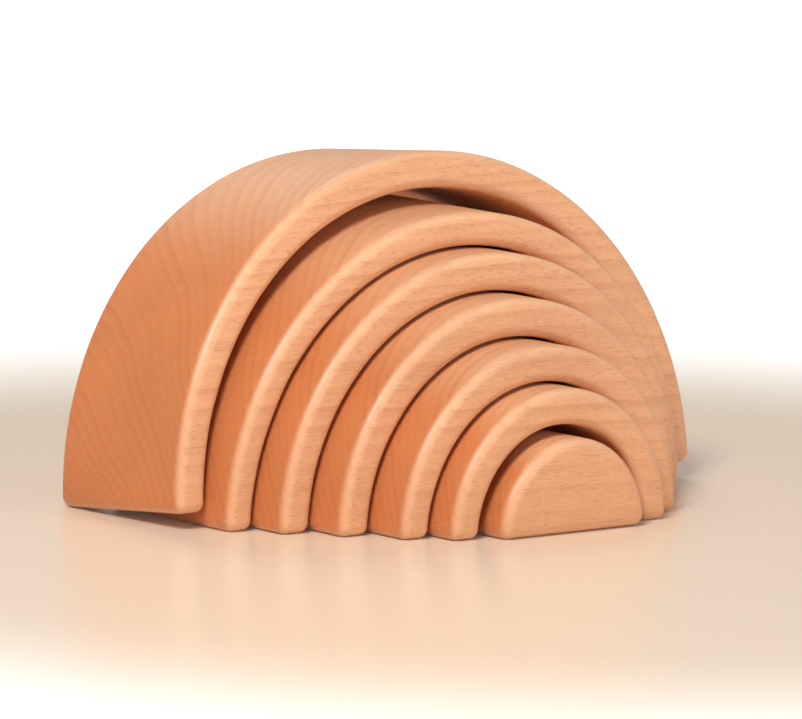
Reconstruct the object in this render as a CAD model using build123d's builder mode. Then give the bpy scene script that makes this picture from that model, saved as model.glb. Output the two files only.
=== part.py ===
"""Natural wooden rainbow stacker: six nested half rings round a solid half disc, drawn apart like a telescope.

Row frame: origin at the centre of the half disc's underside, +X to the right, -Y to the front, +Z up.
Every piece stands on the plane Z = 0, and the curved faces of all upright pieces share the Y axis.
"""

import os

from build123d import *

# Driving dimensions, in millimetres and degrees
OUTER_RADIUS = 85.0  # half the 170 mm span of the largest arch
PIECE_DEPTH = 48.0  # every piece, from front face to back face
DISC_RADIUS = 23.8
SLIDING_GAP = 0.6  # play between neighbouring arches
ARCH_ROUNDING = 2.6  # radius on every edge of an arch
DISC_ROUNDING = 3.0
OUTER_ARCH_LEAN = 5.6  # the outer arch rests on its back edges, with its front feet off the ground

# Each arch's inner radius, and how far its front face stands behind the half disc's, smallest arch first
ARCHES = {
    "inner_arch": (26.4, 5.3),
    "fifth_arch": (36.2, 12.8),
    "fourth_arch": (46.0, 24.3),
    "third_arch": (56.3, 34.7),
    "second_arch": (66.5, 44.5),
    "outer_arch": (75.6, 51.8),
}


def upright_plane(setback):
    """The plane of an upright piece's front face, facing the front, with its local X axis on the ground."""
    return Plane.XZ.offset(PIECE_DEPTH / 2 - setback)


def leaning_plane(setback, lean):
    """The front plane of an arch tipped back on the ground by lean degrees.

    The rounded lower edge at the back rolls on the ground, so the arch turns about that rounding's centre line.
    """
    back = setback + PIECE_DEPTH / 2
    pivot = Location((0, back - ARCH_ROUNDING, ARCH_ROUNDING))
    tip = pivot * Location((0, 0, 0), (-lean, 0, 0)) * pivot.inverse()
    return Plane(tip * upright_plane(setback).location)


def make_arch(front, outer_radius, inner_radius):
    """A half ring on two feet, with every edge rounded."""
    with BuildPart() as arch:
        with BuildSketch(front):
            with BuildLine():
                CenterArc((0, 0), outer_radius, 0, 180)
                Line((-outer_radius, 0), (-inner_radius, 0))
                CenterArc((0, 0), inner_radius, 0, 180)
                Line((inner_radius, 0), (outer_radius, 0))
            make_face()
        extrude(amount=-PIECE_DEPTH)
        fillet(arch.edges(), ARCH_ROUNDING)
    return arch


def make_half_disc(front, radius):
    """The solid piece in the middle of the nest."""
    with BuildPart() as disc:
        with BuildSketch(front):
            with BuildLine():
                CenterArc((0, 0), radius, 0, 180)
                Line((-radius, 0), (radius, 0))
            make_face()
        extrude(amount=-PIECE_DEPTH)
        fillet(disc.edges(), DISC_ROUNDING)
    return disc


def save(piece, label):
    """Writes one piece as the node of that name."""
    piece.part.label = label
    export_step(piece.part, f"parts/{label}.step")


os.makedirs("parts", exist_ok=True)

save(make_half_disc(upright_plane(0), DISC_RADIUS), "half_disc")

# Each arch fills the space up to the next one's inner face, less the play
inner_radii = [inner_radius for inner_radius, _ in ARCHES.values()]
outer_radii = [radius - SLIDING_GAP for radius in inner_radii[1:]] + [OUTER_RADIUS]

for outer_radius, (label, (inner_radius, setback)) in zip(outer_radii, ARCHES.items()):
    if label == "outer_arch":
        front = leaning_plane(setback, OUTER_ARCH_LEAN)
    else:
        front = upright_plane(setback)
    save(make_arch(front, outer_radius, inner_radius), label)
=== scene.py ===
"""The looks of a natural wooden rainbow stacker: seven oiled beech pieces on a pale floor.

Lengths are in metres in the CAD model's frame, except in the wood's own pattern, which is in
millimetres.
"""

import math

import bpy
import numpy as np
from mathutils import Matrix, Quaternion, Vector, noise


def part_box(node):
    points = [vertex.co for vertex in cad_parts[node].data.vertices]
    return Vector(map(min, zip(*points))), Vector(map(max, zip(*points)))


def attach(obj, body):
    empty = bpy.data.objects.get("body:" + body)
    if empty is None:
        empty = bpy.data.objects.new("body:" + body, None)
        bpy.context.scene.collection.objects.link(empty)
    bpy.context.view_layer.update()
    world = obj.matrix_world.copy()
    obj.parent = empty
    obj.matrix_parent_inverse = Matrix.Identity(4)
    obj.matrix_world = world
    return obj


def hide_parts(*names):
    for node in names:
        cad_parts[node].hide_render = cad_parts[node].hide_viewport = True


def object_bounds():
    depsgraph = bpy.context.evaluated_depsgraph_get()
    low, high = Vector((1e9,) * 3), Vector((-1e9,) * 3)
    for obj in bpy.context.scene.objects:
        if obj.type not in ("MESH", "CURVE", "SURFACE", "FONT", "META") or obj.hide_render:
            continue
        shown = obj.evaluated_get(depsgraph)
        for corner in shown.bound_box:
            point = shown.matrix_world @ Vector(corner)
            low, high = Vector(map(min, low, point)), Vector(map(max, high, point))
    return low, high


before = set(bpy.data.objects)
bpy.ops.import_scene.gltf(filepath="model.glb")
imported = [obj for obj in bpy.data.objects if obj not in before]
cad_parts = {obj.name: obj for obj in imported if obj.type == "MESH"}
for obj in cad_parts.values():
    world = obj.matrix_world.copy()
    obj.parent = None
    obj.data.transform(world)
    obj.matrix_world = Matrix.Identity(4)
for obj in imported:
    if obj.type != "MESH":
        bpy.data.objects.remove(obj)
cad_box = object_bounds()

# The CAD model's driving dimensions that a box doesn't tell
ARCH_ROUNDING = 0.0026
DISC_ROUNDING = 0.0030
SLIDING_GAP = 0.0006
DISC_GAP = 0.0026
OUTER_ARCH_LEAN = math.radians(5.6)

ARCHES = ["inner_arch", "fifth_arch", "fourth_arch", "third_arch", "second_arch", "outer_arch"]
DISC = "half_disc"
DISC_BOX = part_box(DISC)
PIECE_DEPTH = DISC_BOX[1].y - DISC_BOX[0].y

# How finely the pieces are meshed
CELL = 0.0012
EDGE_CELLS = 7  # steps round each edge's quarter turn

# How far hand work took the wood below its drawn surface
SAW_WANDER = 0.00012
EDGE_WEAR = 0.00025
FACE_SANDING = 0.00005

# How often that work varies, per metre
SAW_MARKS = 45
SAW_MARKS_THROUGH = 4  # front to back, the way the saw cut
RUBS = 90


# ---------------------------------------------------------------- meshes


def cells(length):
    return max(2, round(length / CELL))


def arch_grid(inner, outer, rounding):
    """Points across a half ring's section, one edge rounding in from its outline.

    The first index runs from the left foot to the right, the second from the inside to the outside.
    """
    radii = np.linspace(inner + rounding, outer - rounding, cells(outer - inner - 2 * rounding) + 1)
    along = np.linspace(0, 1, cells(math.pi * outer) + 1)[:, None]
    foot = np.arcsin(rounding / radii)
    angles = (math.pi - foot) + (2 * foot - math.pi) * along
    return np.stack([radii * np.cos(angles), radii * np.sin(angles)], -1)


def disc_grid(radius, rounding):
    """Points across a half disc's section, one edge rounding in from its outline, as a Coons patch.

    The patch's lower side is the flat base, and its other three share the arc.
    """
    core = radius - rounding
    foot = math.asin(rounding / core)
    corners = [math.pi - foot, math.pi * 3 / 4, math.pi / 4, foot]

    def arc(first, last, share):
        angle = first + (last - first) * share
        return np.stack([core * np.cos(angle), core * np.sin(angle)], -1)

    across = np.linspace(0, 1, cells(2 * radius) + 1)
    up = np.linspace(0, 1, cells(radius) + 1)
    left, top, right = (arc(corners[k], corners[k + 1], s) for k, s in enumerate((up, across, up)))
    right = right[::-1]
    base = left[0] + (right[0] - left[0]) * across[:, None]
    s, t = across[:, None, None], up[None, :, None]
    return (
        (1 - t) * base[:, None] + t * top[:, None] + (1 - s) * left[None] + s * right[None]
        - (1 - s) * ((1 - t) * left[0] + t * left[-1]) - s * ((1 - t) * right[0] + t * right[-1])
    )


# Which way a section's side faces at one of its points


def outward(point):
    return point / np.linalg.norm(point)


def inward(point):
    return -outward(point)


def down(point):
    return np.array([0.0, -1.0])


def turn(first, last, share):
    """A direction part of the way round from one to the other, anticlockwise."""
    start = math.atan2(first[1], first[0])
    sweep = (math.atan2(last[1], last[0]) - start) % (2 * math.pi)
    angle = start + sweep * share
    return np.array([math.cos(angle), math.sin(angle)])


def outline(grid, side_directions):
    """Goes once round a section's grid, anticlockwise from its lower left corner.

    Gives for each stop its grid point's number and its outward direction. Where two sides meet at
    an angle, several stops share the corner, so that their directions fan out round it.
    """
    last_i, last_j = grid.shape[0] - 1, grid.shape[1] - 1
    sides = [
        [(i, 0) for i in range(last_i + 1)],
        [(last_i, j) for j in range(last_j + 1)],
        [(i, last_j) for i in range(last_i, -1, -1)],
        [(0, j) for j in range(last_j, -1, -1)],
    ]
    stops = []
    for number, (side, direction) in enumerate(zip(sides, side_directions)):
        next_direction = side_directions[(number + 1) % 4]
        for i, j in side[:-1]:
            stops.append((i * (last_j + 1) + j, direction(grid[i, j])))
        i, j = side[-1]
        before, after = direction(grid[i, j]), next_direction(grid[i, j])
        if before @ after < 0.999:
            for step in range(EDGE_CELLS):
                stops.append((i * (last_j + 1) + j, turn(before, after, step / EDGE_CELLS)))
    places, directions = zip(*stops)
    return np.array(places), np.array(directions)


def rounded_prism(grid, side_directions, front, depth, rounding):
    """A section's grid drawn out from front to back, with every edge rounded.

    Gives its points, their outward directions and its faces.
    """
    flat = grid.reshape(-1, 2)
    places, directions = outline(grid, side_directions)
    count = len(places)
    near, far = front + rounding, front + depth - rounding
    quarter = [math.pi / 2 * k / EDGE_CELLS for k in range(EDGE_CELLS)]
    wall = np.linspace(near, far, cells(far - near) + 1)
    rings = [(near, -a) for a in quarter[:0:-1]]
    rings += [(y, 0.0) for y in wall]
    rings += [(far, a) for a in quarter[1:]]

    points, normals, faces = [], [], []
    for y, tilt in rings:
        section = flat[places] + rounding * math.cos(tilt) * directions
        points += [(x, y + rounding * math.sin(tilt), z) for x, z in section]
        normals += [(x * math.cos(tilt), math.sin(tilt), z * math.cos(tilt)) for x, z in directions]
    front_start = len(points)
    points += [(x, near - rounding, z) for x, z in flat]
    normals += [(0, -1, 0)] * len(flat)
    back_start = len(points)
    points += [(x, far + rounding, z) for x, z in flat]
    normals += [(0, 1, 0)] * len(flat)

    for ring in range(len(rings) - 1):
        for k in range(count):
            a, b = ring * count + k, ring * count + (k + 1) % count
            faces.append((a, a + count, b + count, b))
    last_ring = (len(rings) - 1) * count
    for k in range(count):
        following = (k + 1) % count
        here, there = int(places[k]), int(places[following])
        faces.append((front_start + here, k, following, front_start + there))
        faces.append((last_ring + k, back_start + here, back_start + there, last_ring + following))
    rows, columns = grid.shape[0] - 1, grid.shape[1] - 1
    for i in range(rows):
        for j in range(columns):
            a = i * (columns + 1) + j
            b = a + columns + 1
            faces.append((front_start + a, front_start + b, front_start + b + 1, front_start + a + 1))
            faces.append((back_start + a, back_start + a + 1, back_start + b + 1, back_start + b))
    faces = [tuple(dict.fromkeys(face)) for face in faces]
    return np.array(points, float), np.array(normals, float), faces


def outwardness(points, normals):
    """1 on a piece's outer curved side, -1 on its inner one, 0 on its front and back."""
    radial = points[:, [0, 2]] / np.linalg.norm(points[:, [0, 2]], axis=1, keepdims=True)
    return (normals[:, [0, 2]] * radial).sum(1)


def edge_amounts(points, normals):
    """1 in the middle of a rounded edge, 0 on the flat and curved sides."""
    curved = np.abs(outwardness(points, normals))
    flattest = np.max([np.abs(normals[:, 1]), curved, -normals[:, 2]], axis=0)
    return np.clip((1 - flattest) / (1 - math.sqrt(0.5)), 0, 1)


def hand_worked(points, normals, edges, seed):
    """Moves each point a little into the wood, as sawing, sanding and handling leave it."""
    worked = points.copy()
    for number, (point, normal, edge) in enumerate(zip(points, normals, edges)):
        sawn = 1 - abs(normal[1])
        x, y, z = point
        cut = noise.noise(Vector((x * SAW_MARKS, y * SAW_MARKS_THROUGH, z * SAW_MARKS + seed)))
        rub = noise.noise(Vector((x * RUBS, y * RUBS + seed, z * RUBS)))
        depth = SAW_WANDER * sawn * (0.5 + 0.5 * cut)
        depth += EDGE_WEAR * edge * (0.5 + 0.5 * rub)
        depth += FACE_SANDING * (1 - sawn) * (0.5 + 0.5 * cut)
        worked[number] -= normal * depth
    return worked


def outer_radius(node, rounding):
    """A half round piece's radius, from its box, whose widest points are on the feet's edges."""
    half_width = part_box(node)[1].x
    return rounding + math.hypot(half_width - rounding, rounding)


def make_piece(node, grid, side_directions, rounding, seed, lean=0.0):
    """Builds the finished piece that stands for a CAD node, in the row frame, riding on its body."""
    lowest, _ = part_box(node)
    core_depth = PIECE_DEPTH - 2 * rounding
    pivot = Vector((0, lowest.y + rounding + core_depth * math.cos(lean), rounding))
    front = pivot.y - core_depth - rounding
    points, normals, faces = rounded_prism(grid, side_directions, front, PIECE_DEPTH, rounding)
    edges = edge_amounts(points, normals)
    worked = hand_worked(points, normals, edges, seed)

    mesh = bpy.data.meshes.new(node + "_wood")
    mesh.from_pydata(worked.tolist(), [], faces)
    tipped = Matrix.Rotation(-lean, 4, "X")
    mesh.transform(Matrix.Translation(pivot) @ tipped @ Matrix.Translation(-pivot))
    mesh.shade_smooth()
    plank = (points - np.array([0, front, 0])) * 1000
    facing = outwardness(points, normals)
    arc = np.arctan2(points[:, 2], points[:, 0]) * np.hypot(points[:, 0], points[:, 2]) * 1000
    in_plank = mesh.attributes.new("plank_mm", "FLOAT_VECTOR", "POINT")
    in_plank.data.foreach_set("vector", plank.ravel())
    surface = {
        "edge": edges,
        "end_grain": normals[:, 0] ** 2,
        "sawn": np.abs(facing),
        "inside": -facing,
        "arc_mm": arc,
    }
    for name, amounts in surface.items():
        attribute = mesh.attributes.new(name, "FLOAT", "POINT")
        attribute.data.foreach_set("value", np.clip(amounts, 0, None))
    mesh.materials.append(beech)

    piece = bpy.data.objects.new(node + "_wood", mesh)
    bpy.context.scene.collection.objects.link(piece)
    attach(piece, node)
    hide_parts(node)
    return piece


# ---------------------------------------------------------------- materials


class Wiring:
    """Adds nodes to a tree. An input is a value, or another node's output.

    Sockets are numbered where their names repeat, as the Mix node's colours 6 and 7 do.
    """

    def __init__(self, tree):
        self.tree = tree

    def add(self, kind, inputs=(), output=0, **settings):
        made = self.tree.nodes.new("ShaderNode" + kind)
        for name, value in settings.items():
            setattr(made, name, value)
        for key, value in dict(inputs).items():
            if isinstance(value, bpy.types.NodeSocket):
                self.tree.links.new(value, made.inputs[key])
            else:
                made.inputs[key].default_value = value
        return made.outputs[output]

    def math(self, operation, a, b=0.0):
        return self.add("Math", {0: a, 1: b}, operation=operation)

    def attribute(self, name, vector=False):
        return self.add("Attribute", {}, 1 if vector else 2, attribute_name=name)

    def split(self, position):
        """A vector's three numbers."""
        separate = self.tree.nodes.new("ShaderNodeSeparateXYZ")
        self.tree.links.new(position, separate.inputs[0])
        return separate.outputs

    def vector(self, operation, a, b):
        return self.add("VectorMath", {0: a, 1: b}, operation=operation)

    def length(self, a):
        return self.add("VectorMath", {0: a}, 1, operation="LENGTH")

    def ramp(self, value, low, high, to_low=0.0, to_high=1.0):
        """Value taken smoothly from low..high to to_low..to_high, and held there outside."""
        inputs = {"Value": value, "From Min": low, "From Max": high}
        inputs |= {"To Min": to_low, "To Max": to_high}
        return self.add("MapRange", inputs, interpolation_type="SMOOTHSTEP")

    def blend(self, amount, a, b, blend_type="MIX"):
        """Colour a taken towards colour b."""
        return self.add("Mix", {0: amount, 6: a, 7: b}, 2, data_type="RGBA", blend_type=blend_type)

    def noise(self, position, stretch, detail=2.0, roughness=0.5, output=0):
        """Noise whose features are about as long as stretch along each axis."""
        scaled = self.vector("DIVIDE", position, stretch)
        inputs = {"Vector": scaled, "Scale": 1.0, "Detail": detail, "Roughness": roughness}
        return self.add("TexNoise", inputs, output)


def new_material(name):
    material = bpy.data.materials.new(name)
    material.use_nodes = True
    tree = material.node_tree
    return material, Wiring(tree), tree.nodes["Principled BSDF"]


def srgb(red, green, blue):
    """A colour given in 0 to 255, as a linear one."""
    linear = []
    for c in (red, green, blue):
        linear.append(c / 255 / 12.92 if c <= 10 else ((c / 255 + 0.055) / 1.055) ** 2.4)
    return (*linear, 1.0)


EARLY_WOOD = srgb(224, 164, 120)
LATE_WOOD = srgb(206, 141, 97)
FLECK = srgb(172, 106, 68)
END_GRAIN = srgb(202, 121, 70)
END_GRAIN_DARK = srgb(184, 101, 54)
# The pale of a painted highlight along every rounded edge
EDGE_HIGHLIGHT = srgb(238, 190, 150)

# The plank that the nest is sawn from: its grain runs along X, and its pith lies below and behind it
PITH_Y = 95.0
PITH_Z = -34.0
RING_RADIUS = 130.0
RING_WIDTH = 2.7
RING_UNEVENNESS = 9.0
GRAIN_DRIFT = 16


def make_beech():
    """Beech sawn from one plank: growth rings, rays seen as flecks, darker end grain, an oiled sheen.

    Each noise's stretch is in millimetres along the plank's X, Y and Z, unless said otherwise.
    """
    material, wire, shader = new_material("beech_oiled")
    plank = wire.attribute("plank_mm", vector=True)
    names = ("edge", "end_grain", "sawn", "inside", "arc_mm")
    edge, end, sawn, inside, arc = (wire.attribute(name) for name in names)
    plank_x, plank_y, _ = wire.split(plank)

    # The plank's grain isn't quite straight
    drift = wire.noise(plank, (170, 60, 60), detail=1, output=1)
    drift = wire.vector("SUBTRACT", drift, (0.5, 0.5, 0.5))
    drift = wire.vector("MULTIPLY", drift, (0, GRAIN_DRIFT, GRAIN_DRIFT))
    grown = wire.vector("ADD", plank, drift)

    # Round the pith: distance, and length along the ring
    from_pith = wire.vector("SUBTRACT", grown, (0, PITH_Y, PITH_Z))
    from_pith = wire.vector("MULTIPLY", from_pith, (0, 1, 1))
    distance = wire.length(from_pith)
    _, pith_y, pith_z = wire.split(from_pith)
    along_ring = wire.math("MULTIPLY", wire.math("ARCTAN2", pith_z, pith_y), RING_RADIUS)

    # Growth rings, uneven in width and strength, each pale at first and darkest where it ends
    uneven = wire.noise(plank, (260, 34, 34), detail=1)
    uneven = wire.math("MULTIPLY", uneven, RING_UNEVENNESS)
    rings = wire.math("DIVIDE", wire.math("ADD", distance, uneven), RING_WIDTH)
    share = wire.math("FRACT", rings)
    strength = wire.add("TexWhiteNoise", {"W": wire.math("FLOOR", rings)}, 0, noise_dimensions="1D")
    late = wire.math("MULTIPLY", wire.ramp(share, 0.2, 0.94), wire.ramp(share, 1.0, 0.95))
    late = wire.math("MULTIPLY", late, wire.ramp(strength, 0.0, 1.0, 0.35, 1.0))

    # Rays: short along the grain, thin along the ring, long towards the pith
    ray_place = wire.add("CombineXYZ", {0: plank_x, 1: along_ring, 2: distance})
    rays = wire.ramp(wire.noise(ray_place, (2.3, 0.17, 14), detail=0), 0.64, 0.74)

    # Fibres and pores, the plank's broad patches, and lines left by the saw on the curved sides
    fibre = wire.noise(plank, (14, 0.5, 0.5), detail=3, roughness=0.6)
    pores = wire.noise(plank, (3.0, 0.16, 0.16), detail=2)
    broad = wire.noise(plank, (90, 30, 30), detail=2)
    saw_place = wire.add("CombineXYZ", {0: arc, 1: plank_y})
    saw_lines = wire.math("MULTIPLY", wire.noise(saw_place, (0.7, 40, 1), detail=2), sawn)

    # Colour: long grain, end grain where the surface turns to face X, and a painted highlight that
    # makes every rounded edge pale
    long_wood = wire.blend(wire.math("MULTIPLY", late, 0.6), EARLY_WOOD, LATE_WOOD)
    long_wood = wire.blend(wire.math("MULTIPLY", rays, 0.4), long_wood, FLECK)
    end_wood = wire.blend(wire.math("MULTIPLY", late, 0.4), END_GRAIN, END_GRAIN_DARK)
    end_wood = wire.blend(wire.math("MULTIPLY", rays, 0.2), end_wood, EARLY_WOOD)
    end_share = wire.ramp(wire.math("ADD", end, wire.math("MULTIPLY", broad, 0.2)), 0.15, 0.7)
    colour = wire.blend(end_share, long_wood, end_wood)
    # Painted highlight: each rounded edge is taken towards a pale colour
    colour = wire.blend(wire.math("MULTIPLY", edge, 0.55), colour, EDGE_HIGHLIGHT)
    tone = wire.ramp(fibre, 0.25, 0.75, 0.94, 1.05)
    tone = wire.math("ADD", tone, wire.ramp(broad, 0.3, 0.7, -0.05, 0.05))
    tone = wire.math("ADD", tone, wire.ramp(pores, 0.3, 0.7, -0.03, 0.03))
    grey = wire.add("CombineColor", {0: tone, 1: tone, 2: tone})
    colour = wire.blend(1.0, colour, grey, "MULTIPLY")
    wire.tree.links.new(colour, shader.inputs["Base Color"])

    # Roughness and oil: duller where sawn, dullest inside the arches, smoother on rubbed edges
    rough = wire.ramp(fibre, 0.3, 0.7, 0.42, 0.52)
    rough = wire.math("ADD", rough, wire.math("MULTIPLY", sawn, 0.1))
    rough = wire.math("ADD", rough, wire.math("MULTIPLY", inside, 0.35))
    rough = wire.math("SUBTRACT", rough, wire.math("MULTIPLY", edge, 0.08))
    wire.tree.links.new(rough, shader.inputs["Roughness"])
    wire.tree.links.new(wire.ramp(inside, 0.6, 0.0, 0.0, 0.2), shader.inputs["Coat Weight"])
    shader.inputs["Coat Roughness"].default_value = 0.3
    shader.inputs["Specular IOR Level"].default_value = 0.4

    # Relief
    height = wire.math("MULTIPLY", fibre, 0.5)
    height = wire.math("SUBTRACT", height, wire.math("MULTIPLY", rays, 0.35))
    height = wire.math("ADD", height, wire.math("MULTIPLY", pores, 0.4))
    height = wire.math("ADD", height, wire.math("MULTIPLY", saw_lines, 0.5))
    bump = wire.add("Bump", {"Strength": 0.25, "Distance": 0.0002, "Height": height})
    wire.tree.links.new(bump, shader.inputs["Normal"])
    return material


FLOOR_NEAR = srgb(235, 211, 184)
FLOOR_FAR = srgb(250, 250, 250)
WARM_RADIUS = 0.18
WHITE_RADIUS = 0.42


def make_floor_material():
    """A pale satin surface: warm near the toy, and glowing white where a studio's sweep would be."""
    material, wire, shader = new_material("pale_floor")
    place = wire.add("TexCoord", {}, 3)
    far = wire.ramp(wire.length(place), WARM_RADIUS, WHITE_RADIUS)
    colour = wire.blend(far, FLOOR_NEAR, FLOOR_FAR)
    wire.tree.links.new(colour, shader.inputs["Base Color"])
    shader.inputs["Roughness"].default_value = 0.27
    # Painted light: the floor glows faintly near the toy and brightly far off, standing in for a lit
    # studio sweep
    shader.inputs["Emission Color"].default_value = (1, 1, 1, 1)
    glow = wire.math("ADD", wire.math("MULTIPLY", far, 0.65), 0.03)
    wire.tree.links.new(glow, shader.inputs["Emission Strength"])
    return material


# ---------------------------------------------------------------- studio

TOY_CENTRE = (cad_box[0] + cad_box[1]) / 2
CAMERA_AZIMUTH = -40.41
CAMERA_ELEVATION = 8.17
CAMERA_DISTANCE = 2.3065
CAMERA_TARGET = Vector((-0.0103, 0.0328, 0.0372))
CAMERA_ROLL = math.radians(1.58)
CAMERA_LENS = 412.4


def placed_round(azimuth, elevation, distance, centre):
    """A place seen from centre at that azimuth, where azimuth 0 is in front, on the -Y side."""
    az, el = math.radians(azimuth), math.radians(elevation)
    level = math.cos(el)
    direction = Vector((math.sin(az) * level, -math.cos(az) * level, math.sin(el)))
    return centre + distance * direction


def soft_light(name, azimuth, elevation, distance, size, power):
    light = bpy.data.lights.new(name, "AREA")
    light.shape = "DISK"
    light.size = size
    light.energy = power
    lamp = bpy.data.objects.new(name, light)
    lamp.location = placed_round(azimuth, elevation, distance, TOY_CENTRE)
    lamp.rotation_mode = "QUATERNION"
    lamp.rotation_quaternion = (TOY_CENTRE - lamp.location).to_track_quat("-Z", "Y")
    lamp.visible_camera = False
    bpy.context.scene.collection.objects.link(lamp)


def make_floor(size):
    mesh = bpy.data.meshes.new("floor")
    corners = [(-size, -size, 0), (size, -size, 0), (size, size, 0), (-size, size, 0)]
    mesh.from_pydata(corners, [], [(0, 1, 2, 3)])
    mesh.materials.append(make_floor_material())
    floor = bpy.data.objects.new("floor", mesh)
    bpy.context.scene.collection.objects.link(floor)


def make_camera():
    """A long lens, low and to the toy's left, tilted a little to one side."""
    camera = bpy.data.cameras.new("camera")
    camera.lens = CAMERA_LENS
    camera.sensor_width = 36
    camera.clip_end = 50
    viewer = bpy.data.objects.new("camera", camera)
    viewer.location = placed_round(
        CAMERA_AZIMUTH, CAMERA_ELEVATION, CAMERA_DISTANCE, CAMERA_TARGET
    )
    viewer.rotation_mode = "QUATERNION"
    level = (CAMERA_TARGET - viewer.location).to_track_quat("-Z", "Y")
    viewer.rotation_quaternion = level @ Quaternion((0, 0, 1), CAMERA_ROLL)
    bpy.context.scene.collection.objects.link(viewer)
    bpy.context.scene.camera = viewer


def make_world(walls, ceiling):
    """A white studio, brighter at its walls than overhead."""
    world = bpy.data.worlds.new("studio")
    world.use_nodes = True
    wire = Wiring(world.node_tree)
    _, _, height = wire.split(wire.add("TexCoord", {}, 0))
    background = world.node_tree.nodes["Background"]
    background.inputs["Color"].default_value = (1, 1, 1, 1)
    strength = wire.ramp(height, 0.0, 0.8, walls, ceiling)
    world.node_tree.links.new(strength, background.inputs["Strength"])
    bpy.context.scene.world = world


beech = make_beech()

disc_radius = outer_radius(DISC, DISC_ROUNDING)
section = disc_grid(disc_radius, DISC_ROUNDING)
make_piece(DISC, section, [down, outward, outward, outward], DISC_ROUNDING, seed=0)

inner_radius = disc_radius + DISC_GAP
for number, arch in enumerate(ARCHES, start=1):
    radius = outer_radius(arch, ARCH_ROUNDING)
    lean = OUTER_ARCH_LEAN if arch == "outer_arch" else 0.0
    section = arch_grid(inner_radius, radius, ARCH_ROUNDING)
    make_piece(arch, section, [inward, down, outward, down], ARCH_ROUNDING, seed=number, lean=lean)
    inner_radius = radius + SLIDING_GAP

make_floor(size=6.0)
make_world(walls=0.4, ceiling=0.25)
soft_light("key", azimuth=-58, elevation=44, distance=1.5, size=0.5, power=19)
soft_light("front", azimuth=16, elevation=18, distance=1.8, size=0.7, power=7.5)
soft_light("back", azimuth=155, elevation=46, distance=1.8, size=0.7, power=7)
make_camera()
bpy.context.scene.view_settings.view_transform = "Standard"
